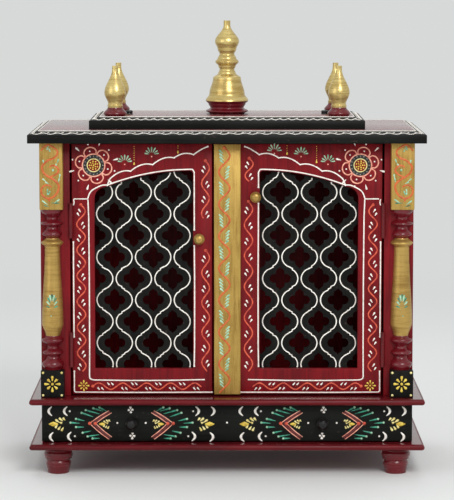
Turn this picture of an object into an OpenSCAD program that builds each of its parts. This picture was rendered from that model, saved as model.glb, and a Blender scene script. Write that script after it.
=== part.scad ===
// Painted wooden home temple: a cabinet shrine on turned feet, with one long
// drawer, two pierced doors between split turned posts, and a stepped roof
// with turned finials.
// Millimetres. Origin at the bottom centre, X to the right, front at -Y, Z up.

/* [Plates] */
// Width of the bottom, middle and roof plates
plate_w = 610; // [500:1:740]
// Depth of those plates, front to back
plate_d = 305; // [250:1:370]
// Thickness of the bottom and middle plates, whose edges are rounded
plate_t = 9.5; // [7:0.5:12]
// How far the plates reach past the cabinet on every side
overhang = 17; // [12:1:22]

/* [Feet] */
// Height of the turned feet
foot_h = 41.5; // [34:0.5:50]
// Largest radius of a foot
foot_r = 23; // [18:0.5:28]
// Distance of a foot's axis from the plate's edges
foot_inset = 42; // [34:1:52]

/* [Base and drawer] */
// Height of the base that holds the drawer
base_h = 61; // [50:1:74]
// How far the drawer front stands behind the posts' faces
drawer_setback = 3.5; // [2:0.5:6]
// Thickness of the drawer front
drawer_front_t = 15; // [12:0.5:18]
// Thickness of the drawer's sides and back
drawer_wall = 9; // [7:0.5:12]
// Thickness of the drawer's bottom
drawer_floor = 5; // [4:0.5:7]
// Gap over the drawer's sides
drawer_top_gap = 14.7; // [8:0.1:20]
// Gap around the drawer front
drawer_gap = 2; // [1.5:0.5:3]
// Gap between the drawer's sides and the base
drawer_side_gap = 3; // [2:0.5:5]
// Distance between the two drawer knobs
drawer_knob_spacing = 296; // [240:1:360]

/* [Cabinet] */
// Height of the cabinet between the middle plate and the roof plate
cab_h = 395.5; // [330:0.5:475]
// Thickness of the side panels
side_t = 12; // [9:0.5:16]
// Thickness of the back panels
back_t = 8; // [6:0.5:12]
// Thickness of the front stiles beside the doors
stile_t = 18; // [14:0.5:22]
// Width of the front stiles, inside the side panels
stile_w = 33.5; // [28:0.5:40]

/* [Posts] */
// Width of the posts' square blocks
post_w = 36; // [30:0.5:43]
// Depth of the split posts in front of the stiles
post_d = 18; // [15:0.5:22]
// Height of the base block
post_base_h = 42.5; // [34:0.5:51]
// Height of the top block
post_top_h = 103.5; // [86:0.5:124]

/* [Doors] */
// Gap around each door
door_gap = 3; // [2:0.5:4]
// Thickness of the doors' boards
door_t = 10; // [8:0.5:12]
// Width of the cover strip on the right door
strip_w = 41; // [34:0.5:49]
// Thickness of the cover strip
strip_t = 5; // [4:0.5:7]
// Width of the door board that shows beside the strip
inner_stile = 29.5; // [24:0.5:35]
// Width of the left door's board beside its hinges
outer_stile = 35; // [29:0.5:42]
// Height of the opening's sill above the door's lower edge
sill_h = 40; // [33:1:48]
// Height of the door board over the opening's inner, higher end
head_h = 41.5; // [35:0.5:50]
// How far the arch falls from its inner end to its outer end
arch_fall = 25; // [15:1:35]
// Radius of the quarter round at the opening's outer corner
arch_corner = 18; // [12:1:24]
// Radius of the door knobs
door_knob_r = 8.5; // [7:0.5:10]
// Distance of the left knob below the door's upper edge
left_knob_drop = 146.5; // [60:0.5:200]
// Distance of the right knob below the door's upper edge
right_knob_drop = 81.5; // [60:0.5:200]

/* [Lattice] */
// Thickness of the pierced boards behind the openings
lattice_t = 6; // [4:0.5:9]
// Distance between a pierced board's edge and the door's inner edge
lattice_margin = 4.5; // [2:0.5:8]
// Distance between holes across a row
cell_w = 60; // [50:1:72]
// Distance between one row of holes and the next, half a cell across
cell_h = 33.6; // [32:0.1:40]
// Width of a hole
hole_w = 32.5; // [27:0.5:36]
// Height of a hole
hole_h = 37; // [31:0.5:42]

/* [Hinges] */
// Length of a hinge
hinge_l = 54; // [45:1:65]
// Radius of the hinge knuckles
knuckle_r = 3; // [2.5:0.1:3.5]
// Height of the lower hinges' middle above the door's lower edge
lower_hinge_h = 70; // [60:1:90]
// Distance of the upper hinges' middle below the door's upper edge
upper_hinge_drop = 118.5; // [60:0.5:140]

/* [Roof] */
// Thickness of the roof plates
roof_t = 18.5; // [16:0.5:22]
// Height of the roof plates' upright edge, under the bevel
roof_face = 12.8; // [10:0.2:15]
// How far the bevel runs in from the edge
bevel_run = 16.5; // [12:0.5:20]
// Width of the upper roof plate
upper_w = 427; // [356:1:480]
// Depth of the upper roof plate
upper_d = 200; // [170:1:235]

/* [Finials] */
// Height of the bell-shaped finial in the middle
finial_h = 147; // [122:1:176]
// Height of the four corner finials
corner_h = 78; // [65:1:94]
// Distance of a corner finial's axis from the upper plate's edges
corner_inset = 39; // [37:1:46]

/* [Hidden] */
$fn = 64;

maroon = [0.42, 0.08, 0.12];
black = [0.10, 0.11, 0.10];
gold = [0.70, 0.56, 0.27];
brass = [0.45, 0.20, 0.18];
eps = 0.5;          // how far a cut reaches past the face that it cuts
slide_gap = 0.3;    // under the drawer, which slides on the bottom plate
seat_gap = 0.5;     // behind the drawer front when it is shut
pin_gap = 0.1;      // between a hinge pin and its knuckle
knuckle_gap = 0.3;  // between the knuckles of a hinge
leaf_t = 1.2;       // thickness of a hinge leaf
leaf_d = 6.5;       // depth of a hinge leaf in the door's edge
leaf_gap = 0.5;     // between a leaf's plate and the knuckles that turn past it
pin_r = 1.5;

// Heights, from the ground up
z_bottom = foot_h;
z_base = z_bottom + plate_t;
z_middle = z_base + base_h;
z_cab = z_middle + plate_t;
z_roof = z_cab + cab_h;
z_upper = z_roof + roof_t;
z_top = z_upper + roof_t;

// The cabinet's box
cab_x = plate_w / 2 - overhang;
cab_y = plate_d / 2 - overhang;
post_x = cab_x - post_w / 2;
stile_front = -cab_y + post_d;
stile_inner = cab_x - side_t - stile_w;
doors_x = stile_inner - door_gap;

// The drawer
drawer_y = -cab_y + drawer_setback;
tray_front = drawer_y + drawer_front_t;
tray_x = cab_x - side_t - drawer_side_gap;
tray_back = cab_y - back_t - 14;
tray_z = z_base + slide_gap;
tray_h = base_h - slide_gap - drawer_top_gap;
drawer_knob_z = z_base + base_h / 2;

// The doors
door_z = z_cab + door_gap;
door_h = cab_h - 2 * door_gap;
sill_z = door_z + sill_h;
split_left = -strip_w / 2 + 0.5;
strip_right = split_left + strip_w;
opening_w = doors_x + split_left - door_gap - inner_stile - outer_stile;
opening_h = door_h - sill_h - head_h;
lattice_lap = inner_stile - lattice_margin;
hinge_x = stile_inner - door_gap / 2;
hinge_y = stile_front - knuckle_r;
lattice_y = stile_front + door_t;
first_row = 5;      // the lowest holes' centres above the sill
column_shift = 16;  // from the opening's middle towards the outside
knob_inset = [9.5, 6.5];  // from the opening's inner edge to the axis of the left and right knob

function inner_edge(side) = side < 0
    ? split_left - door_gap - inner_stile
    : strip_right + inner_stile;
function outer_edge(side) = inner_edge(side) + side * opening_w;
function board_edge(side) = side < 0 ? split_left - door_gap : split_left;

// Points of a turned outline: each key is [height, radius], and the line
// between two keys swings from one radius to the next as a half wave.
wave_steps = 6;
function half_wave(a, b) = [for (i = [0 : wave_steps - 1])
    let (t = i / wave_steps)
    [a[1] + (b[1] - a[1]) * (1 - cos(180 * t)) / 2, a[0] + (b[0] - a[0]) * t]];
function turned_outline(keys) = concat(
    [[0, keys[0][0]]],
    [for (k = [0 : len(keys) - 2]) each half_wave(keys[k], keys[k + 1])],
    [[keys[len(keys) - 1][1], keys[len(keys) - 1][0]], [0, keys[len(keys) - 1][0]]]);

module turned(keys) rotate_extrude() polygon(turned_outline(keys));

// A flat outline drawn in X and Z, with its front face at y and thickness t
module upright(y, t) translate([0, y + t, 0]) rotate([90, 0, 0]) linear_extrude(t) children();

module along_x(l) rotate([90, 0, 90]) linear_extrude(l, center = true) children();
module along_y(l) rotate([90, 0, 0]) linear_extrude(l, center = true) children();

// ---- feet and plates ----

module foot(sx, sy) {
    keys = [[0, foot_r - 6.5], [foot_h * 0.48, foot_r - 3.5], [foot_h * 0.75, foot_r],
        [foot_h * 0.93, foot_r - 3], [foot_h, foot_r - 3]];
    color(maroon)
        translate([sx * (plate_w / 2 - foot_inset), sy * (plate_d / 2 - foot_inset), 0]) turned(keys);
}

module round_edged(w, t) {
    square([w - t, t], center = true);
    for (s = [-1, 1]) translate([s * (w - t) / 2, 0]) circle(t / 2);
}

module round_plate(z) color(maroon) translate([0, 0, z + plate_t / 2]) intersection() {
    along_x(plate_w) round_edged(plate_d, plate_t);
    along_y(plate_d) round_edged(plate_w, plate_t);
}

module bevelled(w) polygon([[-w / 2, 0], [w / 2, 0], [w / 2, roof_face],
    [w / 2 - bevel_run, roof_t], [-w / 2 + bevel_run, roof_t], [-w / 2, roof_face]]);

module bevel_plate(w, d, z) color(black) translate([0, 0, z]) intersection() {
    along_x(w) bevelled(d);
    along_y(d) bevelled(w);
}

// ---- base and drawer ----

module side_wall(side, y0, z, h) color(maroon)
    translate([side < 0 ? -cab_x : cab_x - side_t, y0, z]) cube([side_t, cab_y - y0, h]);

module back_wall(z, h) color(maroon)
    translate([-cab_x + side_t, cab_y - back_t, z]) cube([2 * (cab_x - side_t), back_t, h]);

module drawer_board() color(black)
    translate([-cab_x + 1, drawer_y, z_base + drawer_gap])
        cube([2 * (cab_x - 1), drawer_front_t, base_h - 2 * drawer_gap]);

module drawer_side(side) color(maroon)
    translate([side < 0 ? -tray_x : tray_x - drawer_wall, tray_front, tray_z])
        cube([drawer_wall, tray_back - tray_front, tray_h]);

module drawer_rear() color(maroon)
    translate([-tray_x + drawer_wall, tray_back - drawer_wall, tray_z])
        cube([2 * (tray_x - drawer_wall), drawer_wall, tray_h]);

module drawer_base() color(maroon)
    translate([-tray_x + drawer_wall, tray_front, tray_z + 2])
        cube([2 * (tray_x - drawer_wall), tray_back - drawer_wall - tray_front, drawer_floor]);

// A turned knob that stands forward from the face at y
module knob(x, y, z, r, tint) {
    keys = [[0, r * 0.62], [r * 0.35, r * 0.5], [r * 1.15, r], [r * 1.75, r * 0.62], [r * 1.9, r * 0.2]];
    color(tint) translate([x, y, z]) rotate([90, 0, 0]) turned(keys);
}

// ---- cabinet front ----

module front_stile(side) color(maroon)
    translate([side < 0 ? -cab_x + side_t : stile_inner, stile_front, z_cab])
        cube([stile_w, stile_t, cab_h]);

post_lower = z_cab + post_base_h;
post_upper = z_roof - post_top_h;
r_block = post_d - 0.7;  // the largest turning stays inside the blocks' faces

// Turned rings under the top block, the baluster, and rings over the base block
function post_keys() = [
    [post_lower - eps, r_block - 3], [post_lower + 8, r_block], [post_lower + 20, r_block * 0.58],
    [post_lower + 26, r_block * 0.94], [post_lower + 35, r_block * 0.52], [post_lower + 46, r_block],
    [post_lower + 53, r_block * 0.66], [post_lower + 72, r_block * 0.96],
    [post_upper - 59, r_block * 0.68], [post_upper - 52, r_block], [post_upper - 45, r_block * 0.6],
    [post_upper - 39, r_block * 0.9], [post_upper - 28, r_block * 0.54], [post_upper - 22, r_block],
    [post_upper - 14, r_block * 0.52], [post_upper - 3, r_block * 0.96], [post_upper + eps, r_block * 0.96]];

module post(side) color(gold) {
    translate([side * post_x - post_w / 2, -cab_y, z_cab]) cube([post_w, post_d, post_base_h]);
    translate([side * post_x - post_w / 2, -cab_y, post_upper]) cube([post_w, post_d, post_top_h]);
    intersection() {
        translate([side * post_x, stile_front, 0]) turned(post_keys());
        translate([side * post_x - post_w / 2, -cab_y, z_cab]) cube([post_w, post_d, cab_h]);
    }
}

// ---- doors ----

// Height of the arch over the sill, at a distance from the opening's outer edge
corner_r = 5;       // rounds the arch's inner end
arch_steps = 10;
function arch_height(x) = opening_h
    - arch_fall * pow((opening_w - corner_r - x) / (opening_w - corner_r - arch_corner), 2);
function opening_points() = concat(
    [[0, 0]],
    [for (a = [0 : 15 : 90])
        [arch_corner * (1 - cos(a)), arch_height(arch_corner) - arch_corner * (1 - sin(a))]],
    [for (i = [1 : arch_steps])
        let (x = arch_corner + (opening_w - corner_r - arch_corner) * i / arch_steps) [x, arch_height(x)]],
    [for (a = [60, 30, 0]) [opening_w - corner_r * (1 - cos(a)), opening_h - corner_r * (1 - sin(a))]],
    [[opening_w, 0]]);

// The opening's outline, drawn from its outer edge towards the middle
module opening(side) translate([outer_edge(side), sill_z])
    mirror([side > 0 ? 1 : 0, 0]) polygon(opening_points());

module door_board(side) color(maroon) upright(stile_front, door_t) difference() {
    translate([min(side * doors_x, board_edge(side)), door_z])
        square([abs(side * doors_x - board_edge(side)), door_h]);
    opening(side);
}

// A hole of four lobes, the upper and lower ones drawn out to a point
module hole() {
    lobe = hole_w * 0.215;
    circle(hole_w * 0.3);
    for (s = [-1, 1]) {
        translate([s * (hole_w / 2 - lobe), 0]) circle(lobe);
        translate([0, s * (hole_h / 2 - lobe - 2.5)]) circle(lobe);
        polygon([[-lobe * 0.7, s * (hole_h / 2 - lobe)], [0, s * hole_h / 2],
            [lobe * 0.7, s * (hole_h / 2 - lobe)]]);
    }
}

// Centres of the holes that show, from the opening's outer edge and its sill
columns = ceil(opening_w / cell_w / 2) + 1;
rows = ceil((opening_h + hole_h) / cell_h);
hole_centres = [for (row = [0 : rows], c = [-columns : columns])
    let (x = opening_w / 2 - column_shift + (c + (row % 2) / 2) * cell_w,
        z = first_row + row * cell_h)
    if (x > -2 && x < opening_w + 2 && z - hole_h / 2 + 2 < arch_height(min(x, opening_w - corner_r)))
        [x, z]];
lattice_h = opening_h + 2 * lattice_lap;

module door_lattice(side) color(black) upright(lattice_y, lattice_t)
    translate([outer_edge(side), sill_z]) mirror([side > 0 ? 1 : 0, 0]) difference() {
        translate([-lattice_lap, -lattice_lap]) square([opening_w + 2 * lattice_lap, lattice_h]);
        for (p = hole_centres) translate(p) hole();
    }

module door_knob(side) knob(inner_edge(side) - side * knob_inset[side < 0 ? 0 : 1], stile_front,
    door_z + door_h - (side < 0 ? left_knob_drop : right_knob_drop), door_knob_r, gold);

// ---- hinges ----

middle_knuckle = 18;
end_knuckle = (hinge_l - middle_knuckle) / 2 - knuckle_gap;

module at_hinges(side) for (h = [lower_hinge_h, door_h - upper_hinge_drop])
    translate([side * hinge_x, hinge_y, door_z + h - hinge_l / 2]) children();

// A leaf's plate against the edge that faces it, with a strap to each knuckle
module leaf(side, knuckles, h) {
    x = side < 0 ? -door_gap / 2 : door_gap / 2 - leaf_t;
    translate([x, knuckle_r + leaf_gap, 0]) cube([leaf_t, leaf_d, hinge_l]);
    for (z = knuckles) {
        translate([x, 0, z]) cube([leaf_t, knuckle_r + leaf_gap + eps, h]);
        translate([0, 0, z]) cylinder(r = knuckle_r, h = h);
    }
}

module stile_hinge_leaves(side) color(brass) at_hinges(side) {
    cylinder(r = pin_r, h = hinge_l);
    leaf(side, [end_knuckle + knuckle_gap], middle_knuckle);
}

module door_hinge_leaves(side) color(brass) at_hinges(side) difference() {
    leaf(-side, [0, hinge_l - end_knuckle], end_knuckle);
    translate([0, 0, -eps]) cylinder(r = pin_r + pin_gap, h = hinge_l + 2 * eps);
}

module strip() color(gold) translate([split_left, stile_front - strip_t, door_z])
    cube([strip_w, strip_t, door_h]);

// ---- finials ----

module bell_finial() {
    keys = [[0, 0.185], [0.03, 0.23], [0.065, 0.18], [0.105, 0.2], [0.14, 0.23],
        [0.215, 0.19], [0.385, 0.15], [0.435, 0.095], [0.475, 0.079], [0.51, 0.093],
        [0.557, 0.127], [0.597, 0.1], [0.64, 0.079], [0.69, 0.1], [0.775, 0.13],
        [0.95, 0.036], [1, 0.036]];
    color(gold) translate([0, 0, z_top]) turned([for (k = keys) k * finial_h]);
}

module bud_finial(sx, sy) {
    keys = [[0, 0.2], [0.046, 0.232], [0.17, 0.15], [0.21, 0.155], [0.235, 0.14],
        [0.46, 0.215], [0.93, 0.058], [1, 0.058]];
    color(gold)
        translate([sx * (upper_w / 2 - corner_inset), sy * (upper_d / 2 - corner_inset), z_top])
            turned([for (k = keys) k * corner_h]);
}

button_x = 155;
button_y = -15;
module roof_button(side) color(black) translate([side * button_x, button_y, z_top])
    turned([[0, 6.5], [2, 6], [4, 6.5], [6, 5]]);

module foot_front_left() foot(-1, -1);
module foot_front_right() foot(1, -1);
module foot_rear_left() foot(-1, 1);
module foot_rear_right() foot(1, 1);
module bottom_plate() round_plate(z_bottom);
module middle_plate() round_plate(z_middle);
module base_side_left() side_wall(-1, tray_front + seat_gap, z_base, base_h);
module base_side_right() side_wall(1, tray_front + seat_gap, z_base, base_h);
module base_back() back_wall(z_base, base_h);
module drawer_front() drawer_board();
module drawer_side_left() drawer_side(-1);
module drawer_side_right() drawer_side(1);
module drawer_back() drawer_rear();
module drawer_bottom() drawer_base();
module drawer_knob_left() knob(-drawer_knob_spacing / 2, drawer_y, drawer_knob_z, 9.5, black);
module drawer_knob_right() knob(drawer_knob_spacing / 2, drawer_y, drawer_knob_z, 9.5, black);
module side_panel_left() side_wall(-1, stile_front, z_cab, cab_h);
module side_panel_right() side_wall(1, stile_front, z_cab, cab_h);
module back_panel() back_wall(z_cab, cab_h);
module front_stile_left() front_stile(-1);
module front_stile_right() front_stile(1);
module post_left() post(-1);
module post_right() post(1);
module stile_hinge_leaves_left() stile_hinge_leaves(-1);
module stile_hinge_leaves_right() stile_hinge_leaves(1);
module door_board_left() door_board(-1);
module door_board_right() door_board(1);
module door_lattice_left() door_lattice(-1);
module door_lattice_right() door_lattice(1);
module door_knob_left() door_knob(-1);
module door_knob_right() door_knob(1);
module door_hinge_leaves_left() door_hinge_leaves(-1);
module door_hinge_leaves_right() door_hinge_leaves(1);
module cover_strip() strip();
module roof_plate() bevel_plate(plate_w, plate_d, z_roof);
module upper_roof_plate() bevel_plate(upper_w, upper_d, z_upper);
module centre_finial() bell_finial();
module finial_front_left() bud_finial(-1, -1);
module finial_front_right() bud_finial(1, -1);
module finial_rear_left() bud_finial(-1, 1);
module finial_rear_right() bud_finial(1, 1);
module roof_button_left() roof_button(-1);
module roof_button_right() roof_button(1);

foot_front_left();
foot_front_right();
foot_rear_left();
foot_rear_right();
bottom_plate();
base_side_left();
base_side_right();
base_back();
drawer_front();
drawer_side_left();
drawer_side_right();
drawer_back();
drawer_bottom();
drawer_knob_left();
drawer_knob_right();
middle_plate();
side_panel_left();
side_panel_right();
back_panel();
front_stile_left();
front_stile_right();
post_left();
post_right();
stile_hinge_leaves_left();
stile_hinge_leaves_right();
door_board_left();
door_lattice_left();
door_knob_left();
door_hinge_leaves_left();
door_board_right();
door_lattice_right();
door_knob_right();
door_hinge_leaves_right();
cover_strip();
roof_plate();
upper_roof_plate();
centre_finial();
finial_front_left();
finial_front_right();
finial_rear_left();
finial_rear_right();
roof_button_left();
roof_button_right();
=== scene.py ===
import math
import bmesh
import bpy
from mathutils import Matrix, Vector


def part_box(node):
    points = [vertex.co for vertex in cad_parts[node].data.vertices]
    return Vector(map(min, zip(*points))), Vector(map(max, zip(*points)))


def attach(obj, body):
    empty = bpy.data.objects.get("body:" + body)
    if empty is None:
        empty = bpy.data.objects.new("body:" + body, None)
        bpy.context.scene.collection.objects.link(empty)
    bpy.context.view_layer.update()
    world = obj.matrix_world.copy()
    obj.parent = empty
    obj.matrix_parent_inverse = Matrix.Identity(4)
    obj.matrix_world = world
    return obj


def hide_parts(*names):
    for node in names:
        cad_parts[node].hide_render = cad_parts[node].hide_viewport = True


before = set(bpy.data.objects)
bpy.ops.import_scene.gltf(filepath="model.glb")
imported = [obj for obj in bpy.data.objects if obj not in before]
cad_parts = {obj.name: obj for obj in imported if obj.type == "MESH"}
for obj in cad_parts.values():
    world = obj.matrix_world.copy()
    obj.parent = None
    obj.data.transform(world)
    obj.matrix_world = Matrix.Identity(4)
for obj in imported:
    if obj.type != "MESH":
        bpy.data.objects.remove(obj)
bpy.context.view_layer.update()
mm = 0.001
print("frame: the temple's bodies and nodes are loaded")


class Value:
    # a socket that can stand in a sum, which adds its Math nodes
    def __init__(self, graph, socket):
        self.graph = graph
        self.socket = socket

    def __add__(self, other):
        return self.graph.maths("ADD", self, other)

    def __radd__(self, other):
        return self.graph.maths("ADD", other, self)

    def __sub__(self, other):
        return self.graph.maths("SUBTRACT", self, other)

    def __rsub__(self, other):
        return self.graph.maths("SUBTRACT", other, self)

    def __mul__(self, other):
        return self.graph.maths("MULTIPLY", self, other)

    def __rmul__(self, other):
        return self.graph.maths("MULTIPLY", other, self)

    def also(self, name):
        # another output of the same node
        return Value(self.graph, self.socket.node.outputs[name])

    def above(self, low, high):
        # 0 under low, 1 over high, and a soft step between them
        return self.graph.add("ShaderNodeMapRange", {"interpolation_type": "SMOOTHSTEP"},
                              {"Value": self, "From Min": low, "From Max": high})


class Graph:
    # the nodes of a material or of the world
    def __init__(self, owner):
        owner.use_nodes = True
        self.owner = owner
        self.tree = owner.node_tree
        self.tree.nodes.clear()

    def add(self, kind, settings=None, sockets=None, out=0):
        node = self.tree.nodes.new(kind)
        for key, value in (settings or {}).items():
            setattr(node, key, value)
        for key, value in (sockets or {}).items():
            if isinstance(value, Value):
                self.tree.links.new(value.socket, node.inputs[key])
            else:
                node.inputs[key].default_value = value
        return Value(self, node.outputs[out]) if node.outputs else None

    def maths(self, operation, *values):
        return self.add("ShaderNodeMath", {"operation": operation}, dict(enumerate(values)))

    def noise(self, place, scale, detail, rough):
        return self.add("ShaderNodeTexNoise", {},
                        {"Vector": place, "Scale": scale, "Detail": detail, "Roughness": rough})

    def bump(self, strength, depth, height):
        return self.add("ShaderNodeBump", {}, {"Strength": strength, "Distance": depth, "Height": height})

    def mixColour(self, factor, first, second):
        # sockets 6 and 7 are the colours of a Mix node, and its output 2 is their mix
        return self.add("ShaderNodeMix", {"data_type": "RGBA"}, {0: factor, 6: first, 7: second}, out=2)

    def surface(self, sockets):
        shader = self.add("ShaderNodeBsdfPrincipled", {}, sockets)
        self.add("ShaderNodeOutputMaterial", {}, {"Surface": shader})
        return self.owner


def rgb(red, green, blue):
    # screen colour from 0 to 255 to the linear colour of a socket
    def linear(part):
        part = part / 255
        return part / 12.92 if part <= 0.04045 else ((part + 0.055) / 1.055) ** 2.4
    return (linear(red), linear(green), linear(blue), 1)


# colour and shade of each paint, its roughness and gloss coat, the way its
# brush marks run, and how strongly they show
paints = {
    "maroonAlong": {"colour": (106, 18, 26), "shade": (78, 12, 18),
                    "rough": 0.36, "gloss": 0.18, "coat": 0.04, "marks": (3, 60, 60), "bump": 0.35},
    "maroonUpright": {"colour": (126, 15, 24), "shade": (96, 10, 17),
                      "rough": 0.4, "gloss": 0.16, "coat": 0.02, "marks": (60, 60, 3), "bump": 0.35},
    # the plates' maroon again for their upward faces: painted a little lighter as painted light from above, with
    # more gloss and coat
    "maroonTopPaintedLight": {"colour": (112, 22, 30), "shade": (84, 15, 22),
                  "rough": 0.24, "gloss": 0.5, "coat": 0.6, "marks": (3, 60, 60), "bump": 0.2},
    "maroonTurned": {"colour": (107, 15, 25), "shade": (96, 14, 23),
                     "rough": 0.26, "gloss": 0.4, "coat": 0.25, "marks": (4, 4, 90), "bump": 0.25},
    "blackAlong": {"colour": (24, 26, 23), "shade": (13, 14, 12),
                   "rough": 0.42, "gloss": 0.1, "coat": 0.01, "marks": (3, 60, 60), "bump": 0.35},
    "blackUpright": {"colour": (23, 23, 21), "shade": (12, 12, 11),
                     "rough": 0.45, "gloss": 0.1, "coat": 0.01, "marks": (60, 60, 3), "bump": 0.3},
    "blackTurned": {"colour": (20, 20, 20), "shade": (11, 11, 11),
                    "rough": 0.3, "gloss": 0.3, "coat": 0.1, "marks": (90, 5, 90), "bump": 0.25},
    "hingePaint": {"colour": (112, 24, 30), "shade": (70, 18, 20),
                   "rough": 0.42, "gloss": 0.25, "coat": 0.05, "marks": (90, 90, 8), "bump": 0.5},
}


# noise scales of the brush marks, clouds, pores and rubbed spots, and the relief's depth in metres
paintGrain = {"marks": 3.5, "clouds": 9, "pores": 700, "spots": 160, "depth": 0.0006,
              "rubbed": (190, 150, 140)}


def paintedWood(name, look):
    graph = Graph(bpy.data.materials.new(name))
    place = graph.add("ShaderNodeTexCoord", out="Object")
    brushed = graph.add("ShaderNodeMapping", {}, {"Vector": place, "Scale": look["marks"]})
    marks = graph.noise(brushed, paintGrain["marks"], 6, 0.62)
    clouds = graph.noise(place, paintGrain["clouds"], 5, 0.6)
    pores = graph.noise(place, paintGrain["pores"], 3, 0.55)
    spots = graph.noise(place, paintGrain["spots"], 2, 0.5)
    depth = (marks * 0.55 + clouds * 0.45).above(0.36, 0.62)
    tone = graph.mixColour(depth, rgb(*look["shade"]), rgb(*look["colour"]))
    # small rubbed spots, where the paint is a little paler
    rubbed = spots.above(0.66, 0.76) * 0.05
    tone = graph.mixColour(rubbed, tone, rgb(*paintGrain["rubbed"]))
    bump = graph.bump(look["bump"], paintGrain["depth"], marks * 0.75 + pores * 0.25)
    return graph.surface({"Base Color": tone, "Roughness": look["rough"] + (marks - 0.5) * 0.22 + rubbed,
                          "Specular IOR Level": look["gloss"], "Coat Weight": look["coat"],
                          "Coat Roughness": 0.18, "Normal": bump})


# gold paint is part metal; bright is the colour of its flakes
golds = {
    "goldAlong": {"colour": (184, 150, 74), "shade": (148, 112, 46), "bright": (224, 200, 136),
                  "metal": 0.6, "rough": 0.38, "bump": 0.22, "marks": (70, 70, 5)},
    "goldTurned": {"colour": (186, 152, 80), "shade": (148, 112, 50), "bright": (226, 202, 140),
                   "metal": 0.6, "rough": 0.34, "bump": 0.12, "marks": (5, 5, 90)},
    "goldFinial": {"colour": (212, 190, 122), "shade": (178, 148, 80), "bright": (244, 232, 180),
                   "metal": 0.6, "rough": 0.3, "bump": 0.1, "marks": (5, 5, 90)},
}


# noise scales of the streaks, clouds and flakes, and the relief's depth in metres
goldGrain = {"streaks": 4, "clouds": 22, "flakes": 1500, "depth": 0.0005}


def goldPaint(name, look):
    graph = Graph(bpy.data.materials.new(name))
    place = graph.add("ShaderNodeTexCoord", out="Object")
    brushed = graph.add("ShaderNodeMapping", {}, {"Vector": place, "Scale": look["marks"]})
    streaks = graph.noise(brushed, goldGrain["streaks"], 6, 0.6)
    clouds = graph.noise(place, goldGrain["clouds"], 4, 0.55)
    flakes = graph.noise(place, goldGrain["flakes"], 1, 0.5)
    tone = graph.mixColour((streaks * 0.6 + clouds * 0.4).above(0.34, 0.6),
                           rgb(*look["shade"]), rgb(*look["colour"]))
    tone = graph.mixColour(flakes.above(0.58, 0.7) * 0.35, tone, rgb(*look["bright"]))
    bump = graph.bump(look["bump"], goldGrain["depth"], streaks * 0.7 + flakes * 0.3)
    return graph.surface({"Base Color": tone, "Roughness": look["rough"] + (streaks - 0.5) * 0.25,
                          "Metallic": look["metal"], "Normal": bump})


# colour and shade of the raised lines and dots
reliefColours = {
    "white": ((252, 248, 240), (226, 218, 206)), "cream": ((244, 232, 160), (206, 184, 96)),
    "yellow": ((236, 208, 84), (188, 150, 44)), "coral": ((222, 92, 62), (168, 44, 30)),
    "orange": ((210, 104, 46), (174, 76, 28)), "teal": ((60, 164, 132), (20, 104, 82)),
    "mint": ((176, 218, 186), (104, 166, 130)), "green": ((84, 140, 104), (36, 78, 56)),
    "rose": ((246, 176, 152), (214, 120, 96)), "ink": ((22, 20, 18), (12, 11, 10)),
    "wine": ((104, 20, 26), (80, 12, 18)),
}


# noise scales of the pools and the skin of thick paint, its roughness, and the relief's depth in metres
reliefGrain = {"pools": 180, "skin": 1200, "rough": 0.42, "bump": 0.3, "depth": 0.0003}


def reliefPaint(name, colour, shade):
    graph = Graph(bpy.data.materials.new(name))
    place = graph.add("ShaderNodeTexCoord", out="Object")
    pools = graph.noise(place, reliefGrain["pools"], 3, 0.6)
    skin = graph.noise(place, reliefGrain["skin"], 2, 0.5)
    tone = graph.mixColour(pools.above(0.3, 0.6), rgb(*shade), rgb(*colour))
    bump = graph.bump(reliefGrain["bump"], reliefGrain["depth"], pools * 0.6 + skin * 0.4)
    return graph.surface({"Base Color": tone, "Roughness": reliefGrain["rough"] + (pools - 0.5) * 0.3,
                          "Normal": bump})


# the flat tops are maroon under a net of fine pale lines; spacing is in millimetres
topLook = {"spacing": 15, "line": 0.12, "wander": 0.006, "cover": 0.75, "pale": (214, 190, 186),
           "colour": (112, 30, 38), "shade": (84, 22, 30), "rough": 0.3, "coat": 0.6, "bump": 0.4}


def linedTop(name):
    graph = Graph(bpy.data.materials.new(name))
    place = graph.add("ShaderNodeTexCoord", out="Object")
    across = graph.add("ShaderNodeSeparateXYZ", {}, {"Vector": place}, out="X")
    deep = across.also("Y")
    wander = graph.noise(place, 30, 3, 0.5) * topLook["wander"]
    turns = math.tau / (topLook["spacing"] * mm)
    threads = []
    for slope in (1, -1):
        wave = graph.maths("SINE", (across + deep * slope + wander) * turns)
        threads.append(1 - graph.maths("ABSOLUTE", wave).above(0, topLook["line"] * 2))
    net = graph.maths("MAXIMUM", *threads)
    clouds = graph.noise(place, 12, 5, 0.6)
    tone = graph.mixColour(clouds.above(0.35, 0.62), rgb(*topLook["shade"]), rgb(*topLook["colour"]))
    tone = graph.mixColour(net * topLook["cover"], tone, rgb(*topLook["pale"]))
    return graph.surface({"Base Color": tone, "Roughness": topLook["rough"] + (clouds - 0.5) * 0.15,
                          "Coat Weight": topLook["coat"], "Coat Roughness": 0.12,
                          "Normal": graph.bump(topLook["bump"], 0.0006, net + clouds * 0.3)})


coats = {name: paintedWood(name, look) for name, look in paints.items()}
coats.update({name: goldPaint(name, look) for name, look in golds.items()})
coats["linedTop"] = linedTop("linedTop")
relief = {name: reliefPaint(name + "Relief", *pair) for name, pair in reliefColours.items()}
print("paints:", len(coats) + len(relief), "materials")


def piece(name, mesh, body, materials, nodes=(), crease=35):
    bmesh.ops.recalc_face_normals(mesh, faces=mesh.faces)
    data = bpy.data.meshes.new(name)
    mesh.to_mesh(data)
    mesh.free()
    for material in materials:
        data.materials.append(material)
    data.polygons.foreach_set("use_smooth", [True] * len(data.polygons))
    data.set_sharp_from_angle(angle=math.radians(crease))
    thing = bpy.data.objects.new(name, data)
    bpy.context.scene.collection.objects.link(thing)
    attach(thing, body)
    if nodes:
        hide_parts(*nodes)
    return thing


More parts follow.
